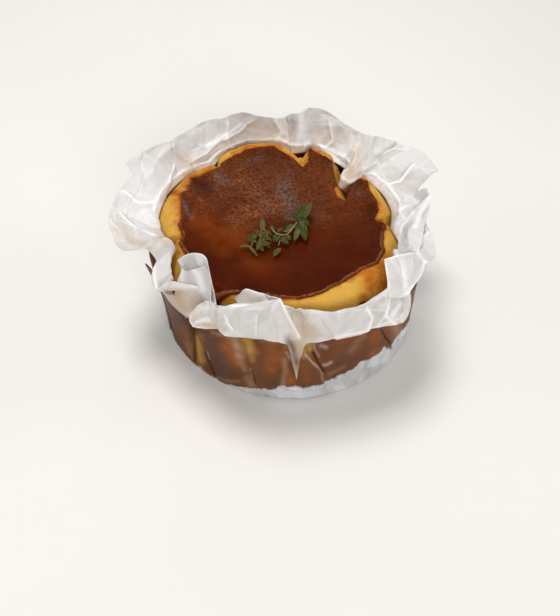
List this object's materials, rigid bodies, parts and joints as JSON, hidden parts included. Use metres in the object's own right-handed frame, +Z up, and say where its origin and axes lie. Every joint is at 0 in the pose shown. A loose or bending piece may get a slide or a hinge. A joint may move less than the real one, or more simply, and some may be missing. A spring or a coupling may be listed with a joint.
{
  "type": "basque cheesecake",
  "caption": "Small round basque cheesecake with a dark browned top, standing in the crumpled baking paper it was baked in, with thyme laid on top.",
  "frame": {"origin": "middle of the flat underside of the paper, on the surface that the cake stands on", "axes": "+Z up; -Y is the shown front, where the paper is folded outwards; +X is to the right seen from the front"},
  "size_m": [0.1466, 0.129, 0.0738],
  "materials": {
    "cheesecake": "browned glossy crust over golden yellow shoulder",
    "parchment": "crumpled white baking paper, browned and greasy down the side",
    "thyme": "matt green leaf"
  },
  "bodies": {
    "root": {"cheesecake": "cheesecake", "parchment": "parchment", "thyme_sprig_left": "thyme", "thyme_sprig_right": "thyme", "thyme_leaf": "thyme"}
  },
  "joints": []
}
